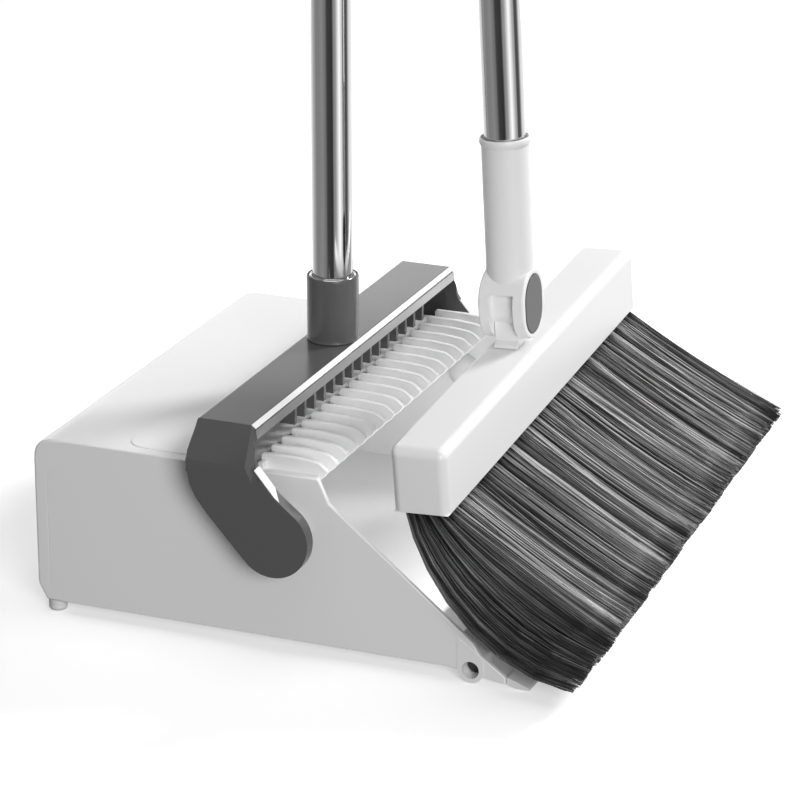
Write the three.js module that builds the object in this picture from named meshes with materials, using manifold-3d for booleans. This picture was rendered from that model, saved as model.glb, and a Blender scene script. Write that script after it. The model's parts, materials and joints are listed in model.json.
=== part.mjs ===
// Dust pan and brush set: an upright windproof dust pan on a long handle, with a
// swivel-head brush parked in a clip on that handle.
// Millimetres, +Z up, floor at z = 0. The pan's mouth faces -Y and its width runs along X.
import * as THREE from 'three';
import { mergeVertices } from 'three/addons/utils/BufferGeometryUtils.js';
import Module from 'manifold-3d';

const wasm = await Module();
wasm.setup();

// ---------------------------------------------------------------- driving dimensions
const GAP = 0.3;                 // left between pieces that touch
const WALL = 2.5;                // moulded plastic wall
const ROUND = 16;                // sides of a small round
const POLE_ROUND = 24;           // sides of a pole

const PAN_HALF = 131.5;          // outer half width of the pan
const PAN_TOP = 99.3;            // top plate
const PAN_BACK = 116.5;          // rear face
const PAN_BASE = 7;              // underside of the pan's floor
const BACK_ROUND = 12;           // rounding of the rear upper edge
const LIP_JOINT = -150;          // where the soft lip is let in
const LIP_FRONT = -163;          // front edge of the soft lip
const BARREL = { y: -131, z: 7.2, r: 7.2, hole: 4.7, length: 13 };
const REAR_FOOT = { x: 125, y: 108, r: 5 };

const TEETH = 20;                // comb teeth
const TOOTH_PITCH = 12.9;
const TOOTH_WIDTH = 3.2;
const COMB_BACK = -12;
const COMB_TIP = -49.5;
const COMB_TOP = 106.4;

const PIVOT = { y: -28.5, z: 69 };     // yoke hinge axis, along X
const PIVOT_PIN_R = 5;
const PIVOT_BOSS_R = 12;         // raised round the pivot, out to the arm
const YOKE_HALF = 149.3;         // outer faces of the arms
const YOKE_INNER = 141.9;
const ARM_END_R = 20;
const BAR_HALF = 139.5;          // the crossbar's top, from which the shoulders slope out
const SHOULDER_Z = 107.5;        // where the shoulders meet the arms
const YOKE_TOP = 127.3;
const BAR_FRONT = -13.5;
const BAR_REAR = 15.9;
const RIB_FROM = 3;              // first comb tooth with a rib of the crossbar over it
const RIB_TO = 17;

const POLE_R = 11;
const POLE_BORE_R = 10.1;
const SOCKET_R = 14.1;
const SOCKET_TOP = 164;
const PAN_POLE = [128.2, 350, 560, 760];      // ends of the three pole tubes
const CLIP_Z = 480;
const CLIP_HEIGHT = 26;
const GRIP_R = 14.5;
const GRIP_LENGTH = 118;
const CAP_LENGTH = 34;

const KNUCKLE = { y: -103, z: 161 };   // swivel axis of the brush head
const POLE_LEAN = 2.97;                // degrees, the brush pole leans back
const HEAD_TURN = -3.4;                // degrees, the head stands turned on its swivel
const DRUM = { halfWidth: 17, halfHeight: 19, halfDepth: 12.7 };
const SLOT_HALF = 6.9;
const SLOT_TOP = 8.3;
const TONGUE_R = 11;
const BRUSH_SOCKET_R = 12.8;
const BRUSH_SOCKET_TOP = 91;
const BRUSH_POLE = [23, 240, 455, 650];
const BLOCK = { length: 298.4, y0: -17.6, y1: 12.3, z0: -57.4, z1: -22.2 };
const PLATE_DEPTH = 6;
const BRISTLE_ROWS = 4;
const BRISTLE_FAN = 0.07;              // how much wider the tips are than the roots

// ---------------------------------------------------------------- materials
const plastic = (color, roughness) => new THREE.MeshStandardMaterial({ color, roughness });
const metal = (color, roughness) => new THREE.MeshStandardMaterial({ color, roughness, metalness: 1 });
const WHITE = plastic(0xf1f1f1, 0.3);
const PALE = plastic(0xd6d6d6, 0.4);
const GREY = plastic(0x6a6a6a, 0.35);
const SOFT_WHITE = plastic(0xe4e4e4, 0.6);
const DARK = plastic(0x3a3a3a, 0.6);
const FIBRE = plastic(0x262626, 0.7);
const CHROME = metal(0xb8b8b8, 0.18);
const STEEL = metal(0x8f8f8f, 0.35);

// ---------------------------------------------------------------- solids
const rad = THREE.MathUtils.degToRad;

function toSolid(geometry) {
  const bare = geometry.clone();
  bare.deleteAttribute('normal');
  bare.deleteAttribute('uv');
  const merged = mergeVertices(bare, 1e-4);
  return new wasm.Manifold(new wasm.Mesh({
    numProp: 3,
    vertProperties: new Float32Array(merged.attributes.position.array),
    triVerts: new Uint32Array(merged.index.array),
  }));
}

function toGeometry(solid) {
  const mesh = solid.getMesh();
  const geometry = new THREE.BufferGeometry();
  geometry.setAttribute('position', new THREE.BufferAttribute(new Float32Array(mesh.vertProperties), 3));
  geometry.setIndex(new THREE.BufferAttribute(new Uint32Array(mesh.triVerts), 1));
  geometry.computeVertexNormals();
  return geometry;
}

const join = (first, ...others) => others.reduce((sum, next) => sum.add(next), first);
const cut = (first, ...others) => others.reduce((rest, next) => rest.subtract(next), first);

// A closed outline in the Y-Z plane, run along X from x0 to x1.
function prism(outline, x0, x1) {
  const shape = outline instanceof THREE.Shape
    ? outline
    : new THREE.Shape(outline.map(([y, z]) => new THREE.Vector2(y, z)));
  const geometry = new THREE.ExtrudeGeometry(shape, {
    depth: x1 - x0, bevelEnabled: false, curveSegments: 6,
  });
  const basis = new THREE.Matrix4().makeBasis(
    new THREE.Vector3(0, 1, 0), new THREE.Vector3(0, 0, 1), new THREE.Vector3(1, 0, 0));
  return toSolid(geometry.applyMatrix4(basis).translate(x0, 0, 0));
}

function box(x0, x1, y0, y1, z0, z1) {
  const geometry = new THREE.BoxGeometry(x1 - x0, y1 - y0, z1 - z0);
  return toSolid(geometry.translate((x0 + x1) / 2, (y0 + y1) / 2, (z0 + z1) / 2));
}

// A body of revolution about Z; profile points are [radius, z], from axis to axis or closed.
function turned(profile, sides = POLE_ROUND) {
  const points = profile.map(([r, z]) => new THREE.Vector2(r, z));
  const geometry = new THREE.LatheGeometry(points, sides);
  return toSolid(geometry.rotateX(Math.PI / 2));
}

function rod(r, z0, z1, sides = ROUND) {
  return turned([[0, z0], [r, z0], [r, z1], [0, z1]], sides);
}

function sleeve(rIn, rOut, z0, z1, sides = POLE_ROUND) {
  return turned([[rIn, z0], [rOut, z0], [rOut, z1], [rIn, z1], [rIn, z0]], sides);
}

// Turned about Z, then laid along X or Y and moved.
const alongX = (solid, x, y, z) => solid.rotate([0, 90, 0]).translate([x, y, z]);
const alongY = (solid, x, y, z) => solid.rotate([-90, 0, 0]).translate([x, y, z]);

// A bar with an obround section in the X-Z plane, run along Y from y0 to y1.
function obround(halfWidth, halfHeight, y0, y1) {
  const shape = new THREE.Shape();
  const straight = halfHeight - halfWidth;
  shape.absarc(0, straight, halfWidth, 0, Math.PI);
  shape.absarc(0, -straight, halfWidth, Math.PI, 2 * Math.PI);
  const geometry = new THREE.ExtrudeGeometry(shape, {
    depth: y1 - y0, bevelEnabled: false, curveSegments: 8,
  });
  return toSolid(geometry.rotateX(Math.PI / 2).translate(0, y1, 0));
}

// A closed outline in the X-Z plane, run along Y from y0 to y1.
function slab(outline, y0, y1) {
  const shape = new THREE.Shape(outline.map(([x, z]) => new THREE.Vector2(x, z)));
  const geometry = new THREE.ExtrudeGeometry(shape, { depth: y1 - y0, bevelEnabled: false });
  return toSolid(geometry.rotateX(Math.PI / 2).translate(0, y1, 0));
}

// ---------------------------------------------------------------- scene helpers
const object = new THREE.Group();

function add(group, name, solid, material) {
  const mesh = new THREE.Mesh(toGeometry(solid), material);
  mesh.name = name;
  group.add(mesh);
}

const SIDES = [['left', -1], ['right', 1]];

// ---------------------------------------------------------------- the pan
function panOutline() {
  const shape = new THREE.Shape();
  shape.moveTo(PAN_BACK - 4, PAN_BASE);
  shape.lineTo(PAN_BACK, PAN_BASE + 8);
  shape.lineTo(PAN_BACK, PAN_TOP - BACK_ROUND);
  shape.absarc(PAN_BACK - BACK_ROUND, PAN_TOP - BACK_ROUND, BACK_ROUND, 0, Math.PI / 2);
  shape.lineTo(-47, PAN_TOP);
  shape.lineTo(-52.8, 86.6);
  shape.lineTo(-132, 22.3);
  shape.lineTo(-136, 16.2);
  shape.lineTo(LIP_JOINT, 6);
  shape.lineTo(LIP_JOINT, 2);
  shape.lineTo(-118, PAN_BASE);
  return shape;
}

const PAN_CAVITY = [
  [PAN_BACK - WALL, PAN_BASE + WALL], [PAN_BACK - WALL, 86], [104, PAN_TOP - WALL],
  [-200, PAN_TOP - WALL], [-200, 6], [LIP_JOINT, 4.4], [-118, PAN_BASE + WALL],
];

function barrel(side) {
  const end = side * (PAN_HALF + GAP);
  const from = Math.min(end, end - side * BARREL.length);
  const solid = rod(BARREL.r, 0, BARREL.length);
  return alongX(solid, from, BARREL.y, BARREL.z);
}

// Each barrel's hole goes in from its outer end and stops short of the inner end.
function barrelHole(side) {
  const inner = side * (PAN_HALF - BARREL.length + WALL);
  const outer = side * (PAN_HALF + 5);
  const hole = rod(BARREL.hole, Math.min(inner, outer), Math.max(inner, outer));
  return alongX(hole, 0, BARREL.y, BARREL.z);
}

function pivotBoss(side) {
  const ends = [side * (PAN_HALF - 1), side * (YOKE_INNER - GAP)];
  return alongX(rod(PIVOT_BOSS_R, Math.min(...ends), Math.max(...ends)), 0, PIVOT.y, PIVOT.z);
}

function panShell() {
  const half = TEETH * TOOTH_PITCH / 2;
  const hollow = prism(PAN_CAVITY, -PAN_HALF + WALL, PAN_HALF - WALL);
  const combSeat = box(-half, half, -70, COMB_BACK + 1, 90, 120);
  const pivotHole = alongX(rod(PIVOT_PIN_R + GAP, -150, 150), 0, PIVOT.y, PIVOT.z);
  const body = join(cut(prism(panOutline(), -PAN_HALF, PAN_HALF), hollow), pivotBoss(-1), pivotBoss(1));
  const shell = cut(body, combSeat, pivotHole);
  const belowFloor = box(-150, 150, -200, 0, -20, 0);
  return cut(join(shell, barrel(-1), barrel(1)), barrelHole(-1), barrelHole(1), belowFloor);
}

function tooth(index) {
  const x = (index - (TEETH - 1) / 2) * TOOTH_PITCH;
  const outline = new THREE.Shape();
  outline.moveTo(COMB_BACK, 95);
  outline.lineTo(COMB_BACK, COMB_TOP);
  outline.lineTo(-30, COMB_TOP);
  outline.quadraticCurveTo(-44, COMB_TOP - 0.8, COMB_TIP, 101);
  outline.lineTo(COMB_TIP + 1.8, 98.2);
  outline.lineTo(-44, 95);
  return prism(outline, x - TOOTH_WIDTH / 2, x + TOOTH_WIDTH / 2);
}

function combStrip() {
  const half = TEETH * TOOTH_PITCH / 2 - GAP;
  const plate = box(-half, half, -44.5, COMB_BACK, 95, 98.6);
  const teeth = Array.from({ length: TEETH }, (_, index) => tooth(index));
  return join(plate, ...teeth);
}

function lipStrip() {
  const outline = [
    [LIP_JOINT - GAP, 1.6], [LIP_JOINT - GAP, 5.6], [LIP_FRONT + 1, 1.4],
    [LIP_FRONT, 0.6], [LIP_FRONT, 0], [LIP_FRONT + 8, 0],
  ];
  return prism(outline, -PAN_HALF + 1.5, PAN_HALF - 1.5);
}

function buildPan(group) {
  add(group, 'pan_shell', panShell(), WHITE);
  add(group, 'comb_strip', combStrip(), PALE);
  add(group, 'mouth_lip', lipStrip(), SOFT_WHITE);
  for (const [name, side] of SIDES) {
    const foot = rod(REAR_FOOT.r, 0, PAN_BASE - GAP);
    add(group, `rear_foot_${name}`, foot.translate([side * REAR_FOOT.x, REAR_FOOT.y, 0]), SOFT_WHITE);
  }
}

// ---------------------------------------------------------------- the yoke and pan handle
const BAR_SECTION = [
  [BAR_FRONT, YOKE_TOP], [-16.4, 125], [-16.8, 119.4], [-14.4, 118.5], [-11.6, 118.5], [-11.6, 100.6],
  [19, 100.6], [19, 108], [BAR_REAR, YOKE_TOP],
];
const BAR_HOLLOW = [[-13.8, YOKE_TOP - WALL], [-13.8, 90], [16.5, 90], [16.5, 108], [13.6, YOKE_TOP - WALL]];

// The yoke from the front: a level crossbar with sloping shoulders, down to z = low.
const frontView = (inset, low) => {
  const top = YOKE_TOP - inset;
  const [shoulder, arm] = inset > 0 ? [BAR_HALF - 5.5, YOKE_INNER] : [BAR_HALF, YOKE_HALF];
  return [[-arm, low], [arm, low], [arm, SHOULDER_Z], [shoulder, top], [-shoulder, top], [-arm, SHOULDER_Z]];
};

function armOutline() {
  const shape = new THREE.Shape();
  shape.moveTo(BAR_REAR, YOKE_TOP);
  shape.lineTo(BAR_FRONT, YOKE_TOP);
  shape.lineTo(-16.4, 125);
  shape.lineTo(-16.8, 119.4);
  shape.lineTo(-17.5, 110.4);
  shape.lineTo(-18.7, 107.1);
  shape.lineTo(-30.3, 93.1);
  shape.lineTo(-42.4, 83.4);
  shape.absarc(PIVOT.y, PIVOT.z, ARM_END_R, rad(134), rad(318), false);
  shape.lineTo(7.6, 79.2);
  shape.lineTo(13.6, 87);
  shape.lineTo(16.9, 93.5);
  shape.lineTo(18.5, 101);
  shape.lineTo(18.9, 111.7);
  return shape;
}

function ribs() {
  const toothX = (index) => (index - (TEETH - 1) / 2) * TOOTH_PITCH;
  const count = RIB_TO - RIB_FROM + 1;
  return Array.from({ length: count }, (_, step) => {
    const x = toothX(RIB_FROM + step);
    return box(x - 1.4, x + 1.4, -14.2, 4, 108.4, YOKE_TOP - 1);
  });
}

function arm(side) {
  const near = side * YOKE_INNER;
  const far = side * YOKE_HALF;
  const plate = prism(armOutline(), Math.min(near, far), Math.max(near, far));
  const reach = side * (PAN_HALF - WALL - 2);
  const pin = rod(PIVOT_PIN_R, Math.min(reach, near + side), Math.max(reach, near + side));
  return join(plate, alongX(pin, 0, PIVOT.y, PIVOT.z));
}

function yoke() {
  const reach = YOKE_HALF + 1;
  const outside = slab(frontView(0, 40), -60, 30);
  const inside = slab(frontView(WALL, 80), -60, 30);
  const bar = cut(
    prism(BAR_SECTION, -reach, reach),
    prism(BAR_HOLLOW, -reach, reach).intersect(inside),
    box(-YOKE_INNER, YOKE_INNER, -17.5, -11, 90, 118.5),
  );
  const body = join(bar, ...ribs(), arm(-1), arm(1)).intersect(outside);
  const screwHole = rod(2.4, 90, 140);
  const pinBores = alongX(rod(1.6, -YOKE_INNER - 1, YOKE_INNER + 1), 0, PIVOT.y, PIVOT.z);
  return cut(body, screwHole, pinBores);
}

function poleSocket() {
  const bottom = YOKE_TOP + GAP;
  return turned([
    [POLE_R + GAP, bottom], [SOCKET_R + 0.5, bottom], [SOCKET_R, bottom + 6], [SOCKET_R, SOCKET_TOP - 5],
    [SOCKET_R + 0.6, SOCKET_TOP - 3.5], [SOCKET_R + 0.6, SOCKET_TOP - 1], [SOCKET_R, SOCKET_TOP],
    [POLE_R + GAP, SOCKET_TOP], [POLE_R + GAP, bottom],
  ]);
}

// Pole tubes stand end to end round a plastic spigot, with a collar over each joint.
function buildPole(group, prefix, ends) {
  const names = ['lower', 'middle', 'upper'];
  for (let index = 0; index < names.length; index += 1) {
    const tube = sleeve(POLE_BORE_R, POLE_R, ends[index], ends[index + 1] - GAP);
    add(group, `${prefix}_tube_${names[index]}`, tube, CHROME);
  }
  for (let index = 1; index < names.length; index += 1) {
    const z = ends[index];
    const spigot = sleeve(POLE_BORE_R - 3, POLE_BORE_R - GAP, z - 22, z + 22);
    add(group, `${prefix}_spigot_${index}`, spigot, DARK);
    const collar = sleeve(POLE_R + GAP, POLE_R + 1.6, z - 5, z + 5);
    add(group, `${prefix}_collar_${index}`, collar, GREY);
  }
}

function buildGrip(group, prefix, top) {
  const bottom = top - GRIP_LENGTH;
  const inner = POLE_R + GAP;
  const profile = [[inner, bottom], [GRIP_R - 1.5, bottom], [GRIP_R, bottom + 4]];
  for (let ring = 0; ring < 3; ring += 1) {
    const z = bottom + 16 + ring * 8;
    profile.push([GRIP_R, z], [GRIP_R - 0.9, z + 1.5], [GRIP_R - 0.9, z + 3], [GRIP_R, z + 4.5]);
  }
  profile.push([GRIP_R - 0.8, top - 40], [GRIP_R, top], [inner, top], [inner, bottom]);
  add(group, `${prefix}_grip`, turned(profile), GREY);
  const z0 = top + GAP;
  const dome = turned([
    [0, z0], [GRIP_R, z0], [GRIP_R - 0.6, z0 + 16], [GRIP_R - 3, z0 + 26],
    [GRIP_R - 8, z0 + CAP_LENGTH - 2], [0, z0 + CAP_LENGTH],
  ]);
  const hole = alongX(rod(5.5, -30, 30), 0, 0, z0 + 17);
  const flatA = box(-30, -8, -30, 30, z0 + 5, z0 + 60);
  const flatB = box(8, 30, -30, 30, z0 + 5, z0 + 60);
  add(group, `${prefix}_hang_cap`, cut(dome, hole, flatA, flatB), WHITE);
}

const lean = Math.tan(rad(POLE_LEAN));
const brushPoleY = (z) => KNUCKLE.y + (z - KNUCKLE.z) * lean;

function clip() {
  const z0 = CLIP_Z - CLIP_HEIGHT / 2;
  const z1 = CLIP_Z + CLIP_HEIGHT / 2;
  const y = brushPoleY(CLIP_Z) + 1;
  const seat = POLE_R + GAP + 0.2;
  const ring = rod(POLE_R + 4, z0, z1, POLE_ROUND);
  const web = box(-4, 4, y + seat + 1, -POLE_R - 2, z0 + 3, z1 - 3);
  const jaw = join(
    rod(seat + 3, z0, z1, POLE_ROUND).translate([0, y, 0]),
    box(-seat - 3, seat + 3, y - 9, y, z0, z1),
  );
  const mouth = join(
    rod(seat, z0 - 1, z1 + 1, POLE_ROUND).translate([0, y, 0]),
    box(-seat, seat, y - 40, y, z0 - 1, z1 + 1),
  );
  const bore = rod(POLE_R + GAP, z0 - 1, z1 + 1, POLE_ROUND);
  const front = box(-40, 40, y - 60, y - 9, z0 - 1, z1 + 1);
  return cut(join(ring, web, jaw), bore, mouth, front);
}

function buildYoke(group) {
  add(group, 'yoke', yoke(), GREY);
  add(group, 'pole_socket', poleSocket(), GREY);
  add(group, 'pole_plug', cut(rod(POLE_BORE_R - GAP, YOKE_TOP + 1, 158), rod(2.4, 100, 150)), DARK);
  const screw = join(rod(5, 119.5, 124.4), rod(2.1, 124, 148));
  add(group, 'pole_screw', screw, STEEL);
  for (const [name, side] of SIDES) {
    const head = PAN_HALF - WALL - 2 - GAP;
    const washer = sleeve(2, 9, 0, 1.4, ROUND);
    const washerX = side > 0 ? head - 1.4 : -head;
    add(group, `pivot_washer_${name}`, alongX(washer, washerX, PIVOT.y, PIVOT.z), STEEL);
    const seat = head - 1.4 - GAP;
    const shank = rod(1.3, Math.min(side * (seat - 1), side * (YOKE_INNER - 4)),
      Math.max(side * (seat - 1), side * (YOKE_INNER - 4)), 12);
    const cap = rod(4, Math.min(side * seat, side * (seat - 3)), Math.max(side * seat, side * (seat - 3)));
    add(group, `pivot_screw_${name}`, alongX(join(shank, cap), 0, PIVOT.y, PIVOT.z), STEEL);
  }
  buildPole(group, 'pan', PAN_POLE);
  add(group, 'brush_clip', clip(), GREY);
  buildGrip(group, 'pan', PAN_POLE[3] + 60);
}

// ---------------------------------------------------------------- the brush
// These pieces are built about the knuckle: Z runs up the brush pole and Y along the swivel axis.
function brushSocket() {
  const drum = obround(DRUM.halfWidth, DRUM.halfHeight, -DRUM.halfDepth, DRUM.halfDepth);
  const tube = turned([
    [0, 0], [BRUSH_SOCKET_R - 1, 0], [BRUSH_SOCKET_R - 0.4, 24], [BRUSH_SOCKET_R, BRUSH_SOCKET_TOP - 6],
    [BRUSH_SOCKET_R + 0.7, BRUSH_SOCKET_TOP - 4], [BRUSH_SOCKET_R + 0.7, BRUSH_SOCKET_TOP - 1],
    [BRUSH_SOCKET_R, BRUSH_SOCKET_TOP], [0, BRUSH_SOCKET_TOP],
  ]);
  const bore = rod(POLE_R + GAP, BRUSH_POLE[0] - GAP, BRUSH_SOCKET_TOP + 1, POLE_ROUND);
  const slot = box(-30, 30, -SLOT_HALF, SLOT_HALF, -30, SLOT_TOP);
  const sweep = alongY(rod(TONGUE_R + 1.5, -SLOT_HALF, SLOT_HALF), 0, 0, 0);
  const pinHole = alongY(rod(3 + GAP, -11.2, 11.2), 0, 0, 0);
  const pocket = (y0, y1) => obround(DRUM.halfWidth - 4, DRUM.halfHeight - 2.6, y0, y1);
  return cut(join(drum, tube), bore, slot, sweep, pinHole,
    pocket(-20, -DRUM.halfDepth + 1.4), pocket(DRUM.halfDepth - 1.4, 20));
}

function tongue() {
  const round = alongY(rod(TONGUE_R, -SLOT_HALF + GAP, SLOT_HALF - GAP, POLE_ROUND), 0, 0, 0);
  const stem = box(-9.5, 9.5, -SLOT_HALF + GAP, SLOT_HALF - GAP, BLOCK.z1 + GAP, 0);
  const base = box(-13, 13, -SLOT_HALF + GAP, SLOT_HALF - GAP, BLOCK.z1 + GAP, BLOCK.z1 + 2.4);
  const teeth = [-108, -84, -60, -36, -12, 12, 36, 60, 84, 108].map((turn) => {
    const angle = rad(turn);
    const bump = alongY(rod(1.3, -SLOT_HALF + GAP, SLOT_HALF - GAP, 12), 0, 0, 0);
    return bump.translate([(TONGUE_R - 0.4) * Math.sin(angle), 0, (TONGUE_R - 0.4) * Math.cos(angle)]);
  });
  const pinHole = alongY(rod(3 + GAP, -20, 20), 0, 0, 0);
  const screwHole = rod(1.9, BLOCK.z1 - 1, BLOCK.z1 + 10);
  return cut(join(round, stem, base, ...teeth), pinHole, screwHole);
}

function blockShell() {
  const { length, y0, y1, z0, z1 } = BLOCK;
  const bevel = 3;
  const outline = [
    [y1, z0], [y1, z1 - bevel], [y1 - bevel, z1], [y0 + 5, z1], [y0, z1 - 6], [y0, z0],
  ];
  const body = prism(outline, -length / 2, length / 2);
  const hollow = box(-length / 2 + WALL, length / 2 - WALL, y0 + WALL, y1 - WALL, z0 - 1, z1 - WALL - 1);
  return cut(body, hollow, rod(1.9, z1 - 10, z1 + 1));
}

function tuftPlate() {
  const { length, y0, y1, z0 } = BLOCK;
  const inset = WALL + GAP;
  return box(-length / 2 + inset, length / 2 - inset, y0 + inset, y1 - inset, z0 + 0.4, z0 + PLATE_DEPTH);
}

// One strand of the bristle sweep: spread 0 is the rearmost row, 1 the front row.
function strand(spread, steps = 6) {
  const mix = (a, b) => new THREE.Vector2(a[0], a[1]).lerp(new THREE.Vector2(b[0], b[1]), spread);
  const curve = new THREE.CubicBezierCurve(
    mix([BLOCK.y1 - WALL - 1, BLOCK.z0], [BLOCK.y0 + WALL + 1, BLOCK.z0]),
    mix([3, -92], [-30, -68]),
    mix([-30, -142], [-66, -95]),
    mix([-82, -145.5], [-104, -115]),
  );
  return curve.getPoints(steps);
}

function bristleRow(index) {
  const step = 1 / BRISTLE_ROWS;
  const rear = strand(index * step + 0.015);
  const front = strand((index + 1) * step - 0.015);
  const shape = new THREE.Shape([...rear, ...front.reverse()]);
  const half = BLOCK.length / 2 - WALL - 1;
  const solid = prism(shape, -half, half);
  return solid.warp((point) => {
    point[0] *= 1 + BRISTLE_FAN * (BLOCK.z0 - point[2]) / 100;
  });
}

function buildHead(group) {
  add(group, 'swivel_tongue', tongue(), PALE);
  add(group, 'tongue_screw', join(rod(1.6, BLOCK.z1 - 4, BLOCK.z1 + 9), rod(4, BLOCK.z1 - 7, BLOCK.z1 - 4)), STEEL);
  add(group, 'brush_block', blockShell(), WHITE);
  add(group, 'tuft_plate', tuftPlate(), WHITE);
  for (let index = 0; index < BRISTLE_ROWS; index += 1) {
    const row = bristleRow(index).translate([0, 0, -GAP]);
    add(group, `bristles_${index + 1}`, row, FIBRE);
  }
}

function buildBrush(group) {
  add(group, 'brush_socket', brushSocket(), WHITE);
  add(group, 'swivel_pin', alongY(rod(3, -10.8, 10.8), 0, 0, 0), STEEL);
  const capDepth = 1.4;
  const cap = (y0) => obround(DRUM.halfWidth - 4 - GAP, DRUM.halfHeight - 2.6 - GAP, y0, y0 + capDepth);
  add(group, 'swivel_cap_front', cap(-DRUM.halfDepth - 0.3), GREY);
  add(group, 'swivel_cap_back', cap(DRUM.halfDepth - capDepth + 0.3), GREY);
  buildPole(group, 'brush', BRUSH_POLE);
  buildGrip(group, 'brush', BRUSH_POLE[3] + 60);
}

// ---------------------------------------------------------------- assembly
const pan = new THREE.Group();
buildPan(pan);
buildYoke(pan);

const brush = new THREE.Group();
brush.position.set(0, KNUCKLE.y, KNUCKLE.z);
brush.rotation.x = -rad(POLE_LEAN);
buildBrush(brush);

const head = new THREE.Group();
head.rotation.y = rad(HEAD_TURN);
buildHead(head);
brush.add(head);

// The frame's origin is under the middle of the whole object's box, on the floor.
object.add(pan, brush);
object.updateMatrixWorld(true);
const bounds = new THREE.Box3().setFromObject(object, true);
object.position.set(-(bounds.min.x + bounds.max.x) / 2, -(bounds.min.y + bounds.max.y) / 2, -bounds.min.z);

export default object;
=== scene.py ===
"""Looks of the dust pan and brush set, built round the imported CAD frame.

Sizes are in millimetres in the pan's own frame, with its origin on the floor under the pan's pole,
and PAN_FRAME turns them into the row frame's metres. The brush's pieces are made about its knuckle,
in BRUSH_FRAME, and its head's pieces in HEAD_FRAME.
"""
import json
import math

import bmesh
import bpy
import numpy as np
from mathutils import Matrix, Vector


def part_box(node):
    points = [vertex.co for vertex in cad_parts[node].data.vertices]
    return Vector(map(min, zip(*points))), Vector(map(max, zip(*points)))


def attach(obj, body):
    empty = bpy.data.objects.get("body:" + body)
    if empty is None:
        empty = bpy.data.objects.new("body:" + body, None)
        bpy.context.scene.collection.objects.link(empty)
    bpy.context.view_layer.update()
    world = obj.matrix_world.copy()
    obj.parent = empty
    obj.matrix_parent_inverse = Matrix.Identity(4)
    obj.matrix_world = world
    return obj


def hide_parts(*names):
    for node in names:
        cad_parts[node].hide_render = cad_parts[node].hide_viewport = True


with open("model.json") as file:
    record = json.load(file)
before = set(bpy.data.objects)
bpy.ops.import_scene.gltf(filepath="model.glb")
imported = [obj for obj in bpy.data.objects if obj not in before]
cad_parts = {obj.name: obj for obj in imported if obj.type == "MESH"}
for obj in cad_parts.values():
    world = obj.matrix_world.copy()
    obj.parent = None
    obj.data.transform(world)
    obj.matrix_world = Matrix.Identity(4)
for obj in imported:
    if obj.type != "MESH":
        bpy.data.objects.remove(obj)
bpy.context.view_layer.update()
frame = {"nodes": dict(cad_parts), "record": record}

# ------------------------------------------------------------------ the frame's own places
JOINTS = {joint["name"]: joint for joint in frame["record"]["behaviour"]["joints"]}


def middle(node):
    low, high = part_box(node)
    return (Vector(low) + Vector(high)) / 2


def node_size(node):
    low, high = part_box(node)
    return (Vector(high) - Vector(low)) * 1000


POLE_FOOT = middle("pole_socket")
PAN_FRAME = Matrix.Translation((POLE_FOOT.x, POLE_FOOT.y, 0)) @ Matrix.Scale(0.001, 4)
SWIVEL_AXIS = Vector(JOINTS["head_swivel"]["axis"])
POLE_LEAN = math.atan2(-SWIVEL_AXIS.z, SWIVEL_AXIS.y)
HEAD_TURN = math.radians(-3.4)
BRUSH_FRAME = (
    Matrix.Translation(JOINTS["head_swivel"]["pos_m"])
    @ Matrix.Rotation(-POLE_LEAN, 4, "X")
    @ Matrix.Scale(0.001, 4)
)
HEAD_FRAME = BRUSH_FRAME @ Matrix.Rotation(HEAD_TURN, 4, "Y")

PAN_HALF = node_size("mouth_lip").x / 2 + 1.5
PAN_TOP = node_size("pan_shell").z
WALL = 2.5
TEETH = 20
TOOTH_PITCH = 12.9
YOKE_HALF = node_size("yoke").x / 2
YOKE_INNER = YOKE_HALF - 7.4
BAR_HALF = YOKE_HALF - 9.8
SHOULDER_Z = 107.5
YOKE_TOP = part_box("yoke")[1][2] * 1000
PIVOT_Y = (Vector(JOINTS["yoke_tilt"]["pos_m"]).y - POLE_FOOT.y) * 1000
PIVOT_Z = Vector(JOINTS["yoke_tilt"]["pos_m"]).z * 1000
BARREL_Y, BARREL_Z, BARREL_R = -131, 7.2, 7.2
POLE_R = 11.0
BLOCK = {"length": 298.4, "y0": -17.6, "y1": 12.3, "z0": -57.4, "z1": -22.2}

SIDES = (("left", -1), ("right", 1))


# ------------------------------------------------------------------ mesh tools
def make(name, verts, faces, space=PAN_FRAME):
    mesh = bpy.data.meshes.new(name)
    mesh.from_pydata([space @ Vector(v) for v in verts], [], faces)
    obj = bpy.data.objects.new(name, mesh)
    bpy.context.collection.objects.link(obj)
    bm = bmesh.new()
    bm.from_mesh(mesh)
    bmesh.ops.remove_doubles(bm, verts=bm.verts, dist=1e-6)
    bmesh.ops.recalc_face_normals(bm, faces=bm.faces)
    bm.to_mesh(mesh)
    bm.free()
    return obj


def apply_modifiers(obj):
    graph = bpy.context.evaluated_depsgraph_get()
    mesh = bpy.data.meshes.new_from_object(obj.evaluated_get(graph))
    obj.modifiers.clear()
    obj.data = mesh
    return obj


def combine(obj, other, operation):
    modifier = obj.modifiers.new("combine", "BOOLEAN")
    modifier.operation = operation
    modifier.solver = "EXACT"
    modifier.object = other
    apply_modifiers(obj)
    bpy.data.objects.remove(other)
    return obj


def cut(obj, *tools):
    for tool in tools:
        combine(obj, tool, "DIFFERENCE")
    return obj


def join(obj, *others):
    for other in others:
        combine(obj, other, "UNION")
    return obj


def bevel(obj, width, segments=3, angle=30):
    modifier = obj.modifiers.new("bevel", "BEVEL")
    modifier.width = width / 1000
    modifier.segments = segments
    modifier.limit_method = "ANGLE"
    modifier.angle_limit = math.radians(angle)
    modifier.use_clamp_overlap = True
    modifier.harden_normals = False
    return apply_modifiers(obj)


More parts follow.
